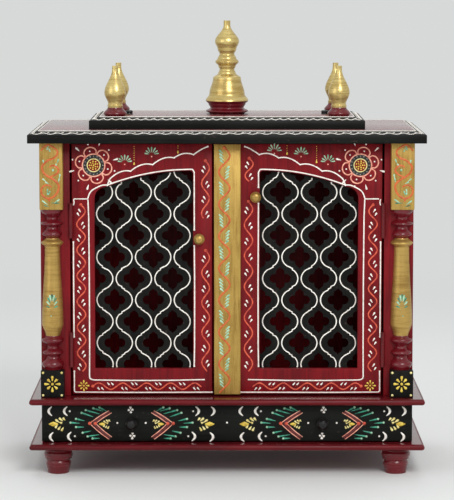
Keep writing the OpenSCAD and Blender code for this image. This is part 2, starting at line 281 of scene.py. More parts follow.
def rounded(mesh, width, segments, least=25):
    corners = [edge for edge in mesh.edges
               if len(edge.link_faces) == 2 and edge.calc_face_angle(0) > math.radians(least)]
    bmesh.ops.bevel(mesh, geom=corners, offset=width * mm, offset_type="OFFSET", segments=segments,
                    affect="EDGES", profile=0.5, material=-1, clamp_overlap=True)


def softened(node, body, materials, width, choose=None):
    # the board's own shape, with its edges eased as sanded and painted wood has them
    mesh = bmesh.new()
    mesh.from_mesh(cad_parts[node].data)
    bmesh.ops.remove_doubles(mesh, verts=mesh.verts, dist=1e-5)
    bmesh.ops.dissolve_limit(mesh, angle_limit=math.radians(1), verts=mesh.verts, edges=mesh.edges)
    for face in mesh.faces:
        face.material_index = 0
    rounded(mesh, width, 2)
    if choose:
        mesh.normal_update()
        for face in mesh.faces:
            face.material_index = choose(face.normal)
    return piece(node + "_painted", mesh, body, materials, [node])


def outline(keys, steps=8):
    # keys are height and radius; between two keys the radius swings as a half wave
    line = [keys[0]]
    for (lowHeight, lowRadius), (highHeight, highRadius) in zip(keys, keys[1:]):
        for step in range(1, steps + 1):
            share = step / steps
            swing = (1 - math.cos(math.pi * share)) / 2
            line.append((lowHeight + (highHeight - lowHeight) * share,
                         lowRadius + (highRadius - lowRadius) * swing))
    return line


def turnedMesh(keys, slices=56):
    mesh = bmesh.new()
    rim = outline(keys)
    points = [(rim[0][0], 0)] + rim + [(rim[-1][0], 0)]
    corners = [mesh.verts.new((radius * mm, 0, height * mm)) for height, radius in points]
    edges = [mesh.edges.new(pair) for pair in zip(corners, corners[1:])]
    bmesh.ops.spin(mesh, geom=corners + edges, cent=(0, 0, 0), axis=(0, 0, 1), dvec=(0, 0, 0),
                   angle=math.tau, steps=slices, use_merge=True)
    bmesh.ops.remove_doubles(mesh, verts=mesh.verts, dist=1e-6)
    return mesh


def seat(node):
    # the middle of the node's underside
    low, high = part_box(node)
    return Vector(((low.x + high.x) / 2, (low.y + high.y) / 2, low.z))


# the body, paint, slot and eased edge, in millimetres, of each board
boards = {
    "base_side_left": ("cabinet", "maroonAlong", "maroon_paint", 0.8),
    "base_side_right": ("cabinet", "maroonAlong", "maroon_paint", 0.8),
    "base_back": ("cabinet", "maroonAlong", "maroon_paint", 0.6),
    "side_panel_left": ("cabinet", "maroonUpright", "maroon_paint", 1),
    "side_panel_right": ("cabinet", "maroonUpright", "maroon_paint", 1),
    "back_panel": ("cabinet", "maroonUpright", "maroon_paint", 0.6),
    "front_stile_left": ("cabinet", "maroonUpright", "maroon_paint", 0.8),
    "front_stile_right": ("cabinet", "maroonUpright", "maroon_paint", 0.8),
    "door_board_left": ("left_door", "maroonUpright", "maroon_paint", 0.8),
    "door_lattice_left": ("left_door", "blackUpright", "black_paint", 0.9),
    "door_board_right": ("right_door", "maroonUpright", "maroon_paint", 0.8),
    "door_lattice_right": ("right_door", "blackUpright", "black_paint", 0.9),
    "cover_strip": ("right_door", "goldAlong", "gold_paint", 0.9),
    "drawer_front": ("drawer", "blackAlong", "black_paint", 0.9),
    "drawer_side_left": ("drawer", "maroonAlong", "maroon_paint", 0.6),
    "drawer_side_right": ("drawer", "maroonAlong", "maroon_paint", 0.6),
    "drawer_back": ("drawer", "maroonAlong", "maroon_paint", 0.6),
    "drawer_bottom": ("drawer", "maroonAlong", "maroon_paint", 0.4),
}
for node, (body, coat, slot, ease) in boards.items():
    softened(node, body, [coats[coat]], ease)


def flatSides(normal):
    return 1 if abs(normal.z) > 0.99 else 0


def upperSide(normal):
    return 1 if normal.z > 0.97 else 0


for node in ("roof_plate", "upper_roof_plate"):
    softened(node, "cabinet", [coats["blackAlong"], coats["linedTop"]], 0.6, flatSides)
# the upward faces of these plates take the lighter maroon, a painted highlight, and the other faces the plain
# maroon
for node in ("bottom_plate", "middle_plate"):
    softened(node, "cabinet", [coats["maroonAlong"], coats["maroonTopPaintedLight"]], 0.5, upperSide)
for node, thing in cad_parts.items():
    if "hinge" in node:
        for holder in thing.material_slots:
            holder.material = coats["hingePaint"]
print("boards: eased and painted")

# heights and radii in millimetres, from the ground up
foot = {"keys": ((0, 16.2), (1.2, 16.8), (17.43, 19.6), (20.75, 18.4), (23.24, 21), (30.71, 23), (36.52, 21),
                 (38.18, 19.6), (41.5, 20))}
for node in ("foot_front_left", "foot_front_right", "foot_rear_left", "foot_rear_right"):
    mesh = turnedMesh(foot["keys"])
    bmesh.ops.translate(mesh, verts=mesh.verts, vec=seat(node))
    piece(node + "_turned", mesh, "cabinet", [coats["maroonTurned"]], [node])

# keys are lengths out of the board and radii, as shares of the knob's greatest radius
knob = {"slices": 40, "keys": ((0, 0.62), (0.35, 0.5), (1.15, 1), (1.75, 0.62), (1.9, 0.2))}
knobs = {
    "drawer_knob_left": ("drawer", 9.5, "blackTurned", "black_paint"),
    "drawer_knob_right": ("drawer", 9.5, "blackTurned", "black_paint"),
    "door_knob_left": ("left_door", 8.5, "goldTurned", "gold_paint"),
    "door_knob_right": ("right_door", 8.5, "goldTurned", "gold_paint"),
}
for node, (body, size, coat, slot) in knobs.items():
    mesh = turnedMesh([(length * size, radius * size) for length, radius in knob["keys"]], knob["slices"])
    low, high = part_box(node)
    bmesh.ops.rotate(mesh, verts=mesh.verts, cent=(0, 0, 0), matrix=Matrix.Rotation(math.pi / 2, 3, "X"))
    bmesh.ops.translate(mesh, verts=mesh.verts, vec=((low.x + high.x) / 2, high.y, (low.z + high.z) / 2))
    piece(node + "_turned", mesh, body, [coats[coat]], [node])

button = {"slices": 32, "keys": ((0, 6.5), (2, 6), (4, 6.5), (6, 5))}
for node in ("roof_button_left", "roof_button_right"):
    mesh = turnedMesh(button["keys"], button["slices"])
    bmesh.ops.translate(mesh, verts=mesh.verts, vec=seat(node))
    piece(node + "_turned", mesh, "cabinet", [coats["blackTurned"]], [node])

# heights and radii as shares of each finial's height, and the key where its gold starts
spire = {"height": 147, "gold": 4, "keys": (
    (0, 0.185), (0.03, 0.23), (0.065, 0.18), (0.105, 0.2), (0.14, 0.23), (0.215, 0.19), (0.385, 0.15),
    (0.435, 0.095), (0.475, 0.079), (0.51, 0.093), (0.557, 0.127), (0.597, 0.1), (0.64, 0.079),
    (0.69, 0.1), (0.775, 0.13), (0.95, 0.036), (1, 0.036))}
bud = {"height": 78, "gold": 2, "keys": (
    (0, 0.2), (0.046, 0.232), (0.17, 0.15), (0.21, 0.155), (0.235, 0.14), (0.46, 0.215), (0.93, 0.058),
    (1, 0.058))}
finials = {"centre_finial": spire, "finial_front_left": bud, "finial_front_right": bud,
           "finial_rear_left": bud, "finial_rear_right": bud}
for node, shape in finials.items():
    keys = [(height * shape["height"], radius * shape["height"]) for height, radius in shape["keys"]]
    for part, some, coat, slot in (("base", keys[:shape["gold"] + 1], "maroonTurned", "maroon_paint"),
                                   ("gilt", keys[shape["gold"]:], "goldFinial", "gold_paint")):
        mesh = turnedMesh(some)
        bmesh.ops.translate(mesh, verts=mesh.verts, vec=seat(node))
        piece(node + "_" + part, mesh, "cabinet", [coats[coat]], [node] if part == "gilt" else ())
print("turnings: feet, knobs and finials")

# the turned part's keys are distances up from its lower end, then down from its upper end,
# with radii as shares of the greatest one; stepIn is how much its foot is smaller
post = {"baseBlock": 42.5, "topBlock": 103.5, "radius": 17.3, "ease": 1.2, "stepIn": 3,
        "upwards": ((8, 1), (20, 0.58), (26, 0.94), (35, 0.52), (46, 1), (53, 0.66), (72, 0.96)),
        "downwards": ((59, 0.68), (52, 1), (45, 0.6), (39, 0.9), (28, 0.54), (22, 1), (14, 0.52), (3, 0.96),
                      (0, 0.96)),
        "balusterFrom": 6, "balusterTo": 10}


def postKeys(lower, upper):
    radius = post["radius"]
    keys = [(lower, radius - post["stepIn"])]
    keys += [(lower + far, radius * share) for far, share in post["upwards"]]
    return keys + [(upper - far, radius * share) for far, share in post["downwards"]]


def turnedEnds(low, high):
    # where the post's turned part starts and stops, in millimetres
    return low.z / mm + post["baseBlock"], high.z / mm - post["topBlock"]


def splitTurning(keys):
    # a turning sawn in half along its axis, which keeps the front half
    mesh = turnedMesh(keys)
    bmesh.ops.bisect_plane(mesh, geom=list(mesh.verts) + list(mesh.edges) + list(mesh.faces),
                           dist=1e-7, plane_co=(0, 0, 0), plane_no=(0, 1, 0), clear_outer=True)
    bmesh.ops.holes_fill(mesh, edges=[edge for edge in mesh.edges if edge.is_boundary], sides=0)
    return mesh


for node in ("post_left", "post_right"):
    low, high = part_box(node)
    axis = (low.x + high.x) / 2
    lower, upper = turnedEnds(low, high)
    keys = postKeys(lower, upper)
    start, stop = post["balusterFrom"], post["balusterTo"]
    for part, some, coat, slot in (("lower_rings", keys[:start + 1], "maroonTurned", "maroon_paint"),
                                   ("baluster", keys[start:stop + 1], "goldTurned", "gold_paint"),
                                   ("upper_rings", keys[stop:], "maroonTurned", "maroon_paint")):
        mesh = splitTurning(some)
        bmesh.ops.translate(mesh, verts=mesh.verts, vec=(axis, high.y, 0))
        piece(node + "_" + part, mesh, "cabinet", [coats[coat]])
    for part, bottom, top, coat, slot in (("base_block", low.z, lower * mm, "blackUpright", "black_paint"),
                                          ("top_block", upper * mm, high.z, "goldAlong", "gold_paint")):
        mesh = bmesh.new()
        bmesh.ops.create_cube(mesh, size=1)
        bmesh.ops.scale(mesh, verts=mesh.verts, vec=(high.x - low.x, high.y - low.y, top - bottom))
        bmesh.ops.translate(mesh, verts=mesh.verts, vec=(axis, (low.y + high.y) / 2, (bottom + top) / 2))
        rounded(mesh, post["ease"], 3)
        piece(node + "_" + part, mesh, "cabinet", [coats[coat]], [node] if part == "top_block" else ())
print("posts: blocks, rings and balusters")


class Ornament:
    # raised paint on one face, drawn in millimetres to the right and up;
    # rise tells how far the face stands out at a point, where it isn't flat
    flatness = 0.5
    dotSlices, dotRings = 10, 6

    def __init__(self, name, body, origin, right=(1, 0, 0), up=(0, 0, 1), rise=None, mirror=1):
        right, up = Vector(right), Vector(up)
        out = right.cross(up)
        self.place = Matrix.Translation(origin) @ Matrix((right, up, out)).transposed().to_4x4()
        self.name, self.body, self.rise, self.mirror = name, body, rise, mirror
        self.lines, self.dots = {}, {}

    def line(self, colour, points, width, ends=1.0):
        # ends is the share of the width that is left at both ends
        last = max(1, len(points) - 1)
        taper = [width / 2 * (ends + (1 - ends) * math.sin(math.pi * i / last)) for i in range(len(points))]
        self.lines.setdefault(colour, []).append(
            [(x * self.mirror, z, radius) for (x, z), radius in zip(points, taper)])

    def drop(self, colour, x, z, length, angle, width, tail=0.25):
        # a dab with its round head at x, z and its tail towards the angle, in degrees
        way = math.radians(angle)
        shape = ((0, 0.55), (0.12, 0.9), (0.3, 1), (0.55, 0.72), (0.8, 0.45), (1, tail))
        self.lines.setdefault(colour, []).append(
            [((x + math.cos(way) * length * along) * self.mirror, z + math.sin(way) * length * along,
              width / 2 * wide) for along, wide in shape])

    def dab(self, colour, x, z, across, rise, width):
        # a drop whose tail lies across and rise away from its head
        self.drop(colour, x, z, math.hypot(across, rise), math.degrees(math.atan2(rise, across)), width)

    def dot(self, colour, x, z, size):
        self.dots.setdefault(colour, []).append((x * self.mirror, z, size / 2))

    def finish(self):
        for colour in sorted(set(self.lines) | set(self.dots)):
            mesh = bmesh.new()
            if colour in self.lines:
                curve = bpy.data.curves.new("strokes", "CURVE")
                curve.dimensions = "3D"
                curve.bevel_depth = mm
                curve.bevel_resolution = 1
                curve.use_fill_caps = True
                for points in self.lines[colour]:
                    spline = curve.splines.new("POLY")
                    spline.points.add(len(points) - 1)
                    for point, (x, z, radius) in zip(spline.points, points):
                        point.co = (x * mm, z * mm, 0, 1)
                        point.radius = radius
                holder = bpy.data.objects.new("strokes", curve)
                data = bpy.data.meshes.new_from_object(holder)
                mesh.from_mesh(data)
                bpy.data.objects.remove(holder)
                bpy.data.meshes.remove(data)
                bpy.data.curves.remove(curve)
                bmesh.ops.remove_doubles(mesh, verts=mesh.verts, dist=1e-7)
            for x, z, radius in self.dots.get(colour, ()):
                bmesh.ops.create_uvsphere(mesh, u_segments=self.dotSlices, v_segments=self.dotRings,
                                          radius=radius * mm, matrix=Matrix.Translation((x * mm, z * mm, 0)))
            for vert in mesh.verts:
                lift = self.rise(vert.co.x / mm, vert.co.y / mm) * mm if self.rise else 0
                vert.co.z = vert.co.z * self.flatness + lift
            bmesh.ops.transform(mesh, matrix=self.place, verts=mesh.verts)
            for face in mesh.faces:
                face.material_index = 0
            piece(self.name + "_" + colour, mesh, self.body, [relief[colour]], crease=60)


def arc(start, end, bulge, steps=8):
    # a bow from start to end that stands up in its middle
    points = []
    for step in range(steps + 1):
        share = step / steps
        points.append((start[0] + (end[0] - start[0]) * share,
                       start[1] + (end[1] - start[1]) * share + bulge * 4 * share * (1 - share)))
    return points


def joined(corners, steps=6):
    # a smooth line through the corners
    points = []
    for i in range(len(corners) - 1):
        before, start = corners[max(0, i - 1)], corners[i]
        end, after = corners[i + 1], corners[min(len(corners) - 1, i + 2)]
        for step in range(steps):
            t = step / steps
            points.append(tuple(
                0.5 * (2 * s + (e - b) * t + (2 * b - 5 * s + 4 * e - a) * t * t
                       + (3 * s - b - 3 * e + a) * t ** 3)
                for b, s, e, a in zip(before, start, end, after)))
    return points + [corners[-1]]


def vine(face, colour, fixed, start, end, sway, half, width, upright=True, first=1, bulb=2.6, dabs=None):
    # a waving stem from start to end; each hollow beside it holds a few dabs
    way = 1 if end > start else -1
    length = abs(end - start)
    count = max(8, int(length / 2.2))
    points = []
    for i in range(count + 1):
        run = length * i / count
        off = first * sway * math.sin(math.pi * run / half)
        along = start + way * run
        points.append((fixed + off, along) if upright else (along, fixed + off))
    face.line(colour, points, width)
    face.dot(colour, *points[0], bulb * 2)
    turn = 0
    while dabs and (turn + 0.5) * half < length:
        run = (turn + 0.5) * half
        swing = first * (1 if turn % 2 == 0 else -1)
        across, along = fixed - swing * sway * 0.5, start + way * run
        dabs(face, *((across, along) if upright else (along, across)), -swing)
        turn += 1


def whiteDabs(face, x, z, side):
    face.drop("white", x + side * 0.4, z + 3.4, 6, 236 if side > 0 else 304, 2.6)
    face.drop("white", x + side * 2.6, z - 2.4, 5.6, 236 if side > 0 else 304, 2.8)
    face.dot("coral", x - side * 2.4, z + 1.2, 1.6)


def whiteDabsFlat(face, x, z, side):
    for across in (-4, 2):
        face.drop("white", x + across, z - side * 0.6, 5.4, 48 if side > 0 else 228, 2.5)
    face.dot("coral", x + 0.4, z - side * 2.4, 1.5)


def mintDabs(face, x, z, side):
    for step in range(4):
        face.drop("mint", x + side * (4 - 0.5 * step), z + 9 - 5 * step, 8.4, 222 if side > 0 else 318, 3.1)
    face.dot("mint", x - side * 1.5, z - 9, 1.8)


def flower(face, colour, x, z, size, petals=8, heart="yellow"):
    for petal in range(petals):
        way = 90 + 360 / petals * petal
        outer = size * (1 if petal % 2 == 0 else 0.86)
        face.drop(colour, x + math.cos(math.radians(way)) * outer, z + math.sin(math.radians(way)) * outer,
                  outer * 0.62, way + 180, size * 0.32)
    face.dot(heart, x, z, size * 0.36)


# distances from the rosette's middle, in millimetres; seeds are rings of dots, as distance and count
rosetteLook = {"petals": 6, "turn": 75, "petalOut": 28.5, "ring": 17.3, "roundness": 0.42, "halfPetal": 28.5,
               "petalDot": 22.6, "outerDot": 33.5, "spark": 39, "eye": (11.6, 13.4, 15.2), "inner": 10,
               "rays": 16, "seeds": ((6.4, 9), (3.4, 5), (0, 1))}


def rosette(face, x, z):
    look = rosetteLook

    def around(radius, way):
        return x + math.cos(math.radians(way)) * radius, z + math.sin(math.radians(way)) * radius

    def circle(colour, radius, width):
        face.line(colour, [around(radius, 12 * step) for step in range(31)], width)

    for petal in range(look["petals"]):
        way = look["turn"] + 360 / look["petals"] * petal
        edge = []
        for step in range(17):
            swing = -1 + 2 * step / 16
            bow = math.cos(swing * math.pi / 2) ** look["roundness"]
            reach = look["ring"] + (look["petalOut"] - look["ring"]) * bow
            edge.append(around(reach, way + swing * look["halfPetal"]))
        face.line("rose", edge, 2)
        face.dot("white", *around(look["petalDot"], way), 2.6)
        face.drop("white", *around(look["spark"], way + 30), 8, way + 210, 3)
        face.dot("white", *around(look["outerDot"], way), 2.6)
    circle("rose", look["ring"], 2)
    for radius in look["eye"]:
        circle("ink", radius, 2.2)
    circle("cream", look["inner"], 1.6)
    for ray in range(look["rays"]):
        way = 360 / look["rays"] * ray
        face.drop("white", *around(look["eye"][-1], way), 4, way + 180, 2)
    for radius, count in look["seeds"]:
        for spot in range(count):
            face.dot("yellow", *around(radius, 360 / count * spot), 2.6)


# leaves fan out from above x, z, and the middle three reach further; in millimetres and degrees
fanLook = {"leaves": 7, "spread": 27, "longer": (2, 3, 4), "long": 8.5, "short": 7, "wide": 2.2,
           "outBy": 4.2, "upBy": 3}


def fan(face, x, z):
    for leaf in range(fanLook["leaves"]):
        way = 90 + (leaf - fanLook["leaves"] // 2) * fanLook["spread"]
        reach = fanLook["long"] if leaf in fanLook["longer"] else fanLook["short"]
        across = math.cos(math.radians(way)) * (fanLook["outBy"] + reach)
        up = math.sin(math.radians(way)) * (fanLook["upBy"] + reach)
        face.drop("mint", x + across, z + up, reach, way + 180, fanLook["wide"])
    face.dot("rose", x, z - 3.5, 2.4)


def hanging(face, x, top, bottom):
    count = int((top - bottom) / 3.4)
    for bead in range(count):
        face.dot("yellow", x, top - 3.4 * bead, 1.5)
    face.drop("yellow", x, bottom - 1.5, 4.5, 90, 2.8)


# heights from the ground and widths, in millimetres; fall is how far the arch drops to its corner
door = {"sill": 164.5, "openHigh": 308, "openWide": 152, "fall": 25, "corner": 18, "edge": 239.5,
        "whiteWidth": 1.9, "vineWidth": 2.1}


def archTop(fromOuter):
    # height of the opening's top, at a distance from its outer edge
    reach = door["openWide"] - 5
    drop = door["fall"] * ((reach - fromOuter) / (reach - door["corner"])) ** 2
    return door["sill"] + door["openHigh"] - drop


def doorLines(face, inner, knobGap):
    outer = inner + door["openWide"]
    wide = door["whiteWidth"]
    # over the arch, round its inner corner and down beside the opening
    top = [(outer - step, archTop(step) + 2.2) for step in range(20, 145, 6)]
    top += [(inner + 4, archTop(145) + 2.4), (inner + 0.5, archTop(145) + 2), (inner - 2, archTop(145) - 2)]
    face.line("white", top + [(inner - 2, 455), (inner - 2, knobGap[0])], wide)
    face.dot("white", inner - 2, knobGap[0], 3.2)
    face.line("white", [(inner - 2, knobGap[1]), (inner - 2.4, 300), (inner - 2.2, 200),
                        (inner - 1.6, 168)], wide)
    face.dot("white", inner - 2, knobGap[1], 3)
    face.dot("white", inner - 1.6, 168, 3)
    # from the arch's outer end to the door's edge, and down both sides of the stile
    shoulder = joined([(outer - 20, archTop(20) + 2.2), (outer - 10, 449.5), (outer + 5, 441),
                       (outer + 10.5, 429)])
    face.line("white", shoulder + [(outer + 32, 429)], wide)
    face.line("white", joined([(237, 428.5), (236, 424), (237, 419)]), 1.8)
    stile = [(outer + 10, 428), (outer + 9, 400), (outer + 8.5, 300), (outer + 8.6, 200), (outer + 9, 152)]
    face.line("white", stile + joined([(outer + 8.4, 149), (outer + 5, 147), (outer, 146.4)], 3)
              + [(150, 145.6), (90, 145.8), (inner - 17, 147)], wide)
    face.dot("white", inner - 17, 147, 2.6)
    face.line("white", [(237.3, 362), (237.3, 300), (237.2, 214)], wide)
    face.line("white", [(237, 160), (237.2, 129.5), (235.5, 127.4), (150, 126.8), (inner - 29, 127.2)], wide)
    for spot in ((237.3, 362), (237.2, 214), (237, 160), (inner - 29, 127.2)):
        face.dot("white", *spot, 3)
    # scallops under the rosette and the fans
    cusps = [(inner - 23, 510), (inner - 1, 497.5), (inner + 29, 492.5), (inner + 62, 482), (inner + 96, 472),
             (inner + 127.5, 460.5), (inner + 132, 450)]
    bulges = (1.2, 4.2, 4.6, 4.8, 4.6, 1)
    for (start, end), bulge in zip(zip(cusps, cusps[1:]), bulges):
        face.line("white", arc(start, end, bulge), wide)
        face.dot("white", *end, 2.6)
    face.dot("white", *cusps[0], 3)


# the lines that part one column of holes from the next; two columns side by side swing opposite ways
lattice = {"firstHole": 5, "rowStep": 33.6, "columnStep": 30, "shift": 16, "columns": range(-4, 5),
           "sway": 12.4, "flat": 0.12, "roundness": 0.58, "kink": (0.06, 0.42, 0.3), "start": 1.2,
           "step": 2, "count": 156, "margin": 1.5, "wide": 1.8, "endDot": 2.6, "midDot": 2.5}


def openTop(fromOuter):
    # height of the opening's top, with its rounded outer corner
    corner = door["corner"]
    top = archTop(max(min(fromOuter, door["openWide"] - 5), corner))
    if fromOuter < corner:
        top -= corner - math.sqrt(max(0, corner ** 2 - (corner - fromOuter) ** 2))
    return top


def latticeStroke(face, run):
    # one stroke with a dot at both ends; the very short ones are left out
    if len(run) > 3:
        face.line("white", run, lattice["wide"])
        face.dot("white", *run[0], lattice["endDot"])
        face.dot("white", *run[-1], lattice["endDot"])


def latticeLines(face, inner):
    outer = inner + door["openWide"]
    first = door["sill"] + lattice["firstHole"]
    low, high, held = lattice["kink"]
    margin = lattice["margin"]
    for column in lattice["columns"]:
        centre = inner + door["openWide"] / 2 + lattice["shift"] + (column + 0.5) * lattice["columnStep"]
        run = []
        for step in range(lattice["count"]):
            z = door["sill"] + lattice["start"] + step * lattice["step"]
            swing = math.cos(math.pi * (z - first) / lattice["rowStep"]) * (1 if column % 2 == 0 else -1)
            bow = (max(0, abs(swing) - lattice["flat"]) / (1 - lattice["flat"])) ** lattice["roundness"]
            if low < swing < high:
                bow = held
            x = centre + lattice["sway"] * math.copysign(bow, swing)
            if inner + margin < x < outer - margin and z < openTop(outer - x) - margin:
                run.append((x, z))
                if abs(swing) < 0.1:
                    face.dot("white", x, z, lattice["midDot"])
            else:
                latticeStroke(face, run)
                run = []
        latticeStroke(face, run)


# distances outwards from the doors' meeting line, and heights, in millimetres; a fan's middle,
# a hanging's place, top and bottom, and a vine's place, start, end, sway, half wave and first side
doors = {
    "left": {"side": -1, "inner": 52.5, "knobGap": (381, 356), "body": "left_door", "fans": (),
             "hangings": ((75.5, 511, 501), (143, 510, 483)),
             "vines": ((33.2, 488, 399, 6, 23.3, -1), (33, 349, 160, 6, 23.3, -1))},
    "right": {"side": 1, "inner": 50.5, "knobGap": (447, 422), "body": "right_door", "fans": ((73, 503),),
              "hangings": ((92.5, 511, 499), (138, 510, 486)),
              "vines": ((34, 492, 456, 6.2, 18, 1), (33.2, 425, 160, 6.4, 24.1, 1))},
}
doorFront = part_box("door_board_left")[0].y
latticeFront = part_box("door_lattice_left")[0].y
for name, look in doors.items():
    side, inner = look["side"], look["inner"]
    face = Ornament("door_" + name + "_relief", look["body"], (0, doorFront, 0), mirror=side)
    doorLines(face, inner, look["knobGap"])
    rosette(face, 205.5, 481)
    for x, z in ((inner + 105, 486), (inner + 63.5, 498)) + look["fans"]:
        fan(face, x, z)
    for x, top, bottom in look["hangings"]:
        hanging(face, x, top, bottom)
    for x, start, end, sway, half, first in ((225.5, 420, 160, 6.6, 20.1, -1),) + look["vines"]:
        vine(face, "coral", x, start, end, sway, half, door["vineWidth"], first=first, dabs=whiteDabs)
    flower(face, "yellow", 222.5, 137.4, 8.6)
    vine(face, "coral", 136.6, 208.5, 40, 5, 18.6, door["vineWidth"], upright=False, dabs=whiteDabsFlat)
    face.finish()
    net = Ornament("lattice_" + name + "_relief", look["body"], (0, latticeFront, 0), mirror=side)
    latticeLines(net, inner)
    net.finish()
strip = Ornament("strip_relief", "right_door", (0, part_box("cover_strip")[0].y, 0))
vine(strip, "orange", -4.2, 508.5, 127, 8.4, 24.9, 3.1, first=1, bulb=3, dabs=mintDabs)
strip.finish()
print("doors: lines, rosettes and vines")

# one motif, drawn outwards from a knob: distances from the knob, heights from the ground, then the
# reach of each stroke back towards the knob and upwards, in millimetres
motif = {
    "crescents": ((128, 100), (104, 100), (126, 59.5), (98, 60.2)), "tall": 14.5,
    "moons": ((95.6, 100), (88, 60.6)),
    "lozenges": ((121, 1), (45.4, 0.68)), "lozengeHeight": 79.8, "lozengeSize": 7.4,
    "feathers": ((-3, 7, 6, -4.5), (-8.6, 9.6, 6, -5), (-14.4, 9.8, 4, -4), (-13.4, 1.4, -4.5, 1.6),
                 (-2.6, -6.4, 3.4, 4.6), (-7.2, -9, 3.6, 5.4), (-12.2, -10.8, 3.4, 5.8)),
    "fronds": ((94.6, 82, 14, -1), (86, 87.8, 13.5, -3), (86, 75, 12, 0), (77.4, 97.5, 18, -6.4),
               (70.8, 101.8, 21, -6), (59, 104.6, 15, -4.6), (49.4, 106, 12, -6.6),
               (75.9, 66, 13, 3), (68.2, 60.2, 18, 3), (60.6, 57, 11, 0.4)),
    # colour, tip, reach, upper end, lower end and width of each chevron
    "chevrons": (("wine", 60.2, 27, 99, 57.6, 3.4), ("rose", 65, 30, 100.8, 55.8, 1.5),
                 ("rose", 55.6, 25, 97.6, 59.4, 1.5)),
    "tipHeight": 80.8, "tips": (64.7, 56),
}
sprigDabs = ((0, 5.6, 0, -4.6), (-4, 0.6, 3.2, -1.6), (4.4, 1.4, -3.4, -2), (0.6, -4.8, 0, 3.4))


def crescent(face, x, z, way):
    half, quarter = motif["tall"] / 2, motif["tall"] * 0.24
    moon = [(x + way * 4.6, z + half), (x + way * 0.8, z + quarter), (x - way * 0.4, z),
            (x + way * 0.8, z - quarter), (x + way * 4.8, z - half)]
    face.line("white", joined(moon, 3), 3.9, ends=0.3)


def drawerMotif(face, pivot, way):
    # way is -1 to the left of the knob at pivot, and 1 to its right
    def at(away):
        return pivot + way * away

    def dab(colour, away, z, inwards, rise, width):
        face.dab(colour, at(away), z, -way * inwards, rise, width)

    for away, z in motif["crescents"]:
        crescent(face, at(away), z, -way)
    for away, z in motif["moons"]:
        face.dot("white", at(away), z, 3.2)
    # a lozenge with feathers behind it, near the edge and inside the chevrons
    height = motif["lozengeHeight"]
    for away, scale in motif["lozenges"]:
        size = motif["lozengeSize"] * scale
        face.line("yellow", [(at(away + step), height) for step in (size, 3 * scale, 0, -3 * scale, -size)],
                  size, ends=0.12)
        for across, z, inwards, rise in motif["feathers"]:
            dab("cream", away + across * scale, height + z * scale, inwards * scale, rise * scale,
                3 * scale + 0.7)
    for away, z, inwards, rise in motif["fronds"]:
        dab("teal", away, z, inwards, rise, 2.6)
        face.dot("mint", at(away), z, 3.8)
        dab("mint", away - 1, z + rise * 0.05, inwards * 0.7, rise * 0.7, 1.8)
    # nested chevrons, two pale lines with a dark red one between them
    peak = motif["tipHeight"]
    for colour, tip, reach, high, low, width in motif["chevrons"]:
        for end in (high, low):
            face.line(colour, joined([(at(tip), peak), (at(tip - reach * 0.5), peak + (end - peak) * 0.55),
                                      (at(tip - reach), end)], 5), width, ends=0.7)
    for tip in motif["tips"]:
        face.dot("coral", at(tip), peak, 5.6)
        face.dot("rose", at(tip), peak, 3)
    face.dot("white", at(22), 81.5, 3.2)


def sprig(face, x, z, lift):
    # lift is 1 upright and -1 upside down
    for across, rise, tail, fall in sprigDabs:
        face.dab("white", x + across, z + lift * rise, tail, lift * fall, 4)


face = Ornament("drawer_relief", "drawer", (0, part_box("drawer_front")[0].y, 0))
for half in (-1, 1):
    for way in (-1, 1):
        drawerMotif(face, half * 148, way)
    sprig(face, half * 149.5, 101.8, 1)
    sprig(face, half * 147, 61.4, -1)
face.dot("white", 0, 82, 3.2)
face.finish()
print("drawer: its painted front")

# distances from the post's middle and heights from the ground, in millimetres
scroll = {
    "stem": ((-15, 504.5), (-10, 511), (-4, 514), (2.3, 511), (9, 506), (9.8, 499.5), (4.5, 493.5),
             (-4.5, 490), (-12, 483), (-13.5, 477), (-10.5, 470), (-3.8, 464.7), (3, 461), (9.8, 455), (12, 448.5),
             (9, 439.5), (2.3, 433), (-6, 431.5), (-13.5, 437), (-15, 444.7), (-11.3, 450.5), (-5.3, 452),
             (0.8, 449)),
    "curl": ((-3, 464), (7.5, 468.4), (12, 475), (7.5, 481), (1.5, 482), (-2.3, 479)),
    "tail": ((-3.8, 431.3), (-3.2, 429), (-2.6, 426.6)),
    "dabs": ((-6, 506, 70), (-1, 503, 110), (12, 492, 250), (9, 485, 240), (-12, 491, 280), (-13, 462, 320),
             (-9, 457, 330), (14, 469, 260), (13, 463, 255), (-5, 446, 260), (-1.5, 443, 250)),
    "dots": ((3, 475), (-5, 438.5)),
    # colour, place, length, angle and width of the leaves under the scroll
    "leaves": (("mint", -14, 428, 11, 325, 2.6), ("mint", 13, 430, 11, 215, 2.6),
               ("green", 12, 424, 12, 178, 2.4), ("green", -11, 421, 8, 340, 2.2)),
}
balusterLeaf = {"colours": ("teal", "mint", "green", "mint", "green", "mint", "teal", "mint", "green"),
                "start": -6, "step": 24, "wide": 8.6, "tall": 17, "height": 266, "stem": 258, "stroke": 3}


def swell(rim):
    # how far a turning with this outline stands out at x, z
    def rise(x, z):
        radius = min(rim, key=lambda key: abs(key[0] - z))[1]
        for (bottom, small), (top, large) in zip(rim, rim[1:]):
            if bottom <= z < top:
                radius = small + (large - small) * (z - bottom) / (top - bottom)
        return math.sqrt(max(1, radius ** 2 - x ** 2))
    return rise


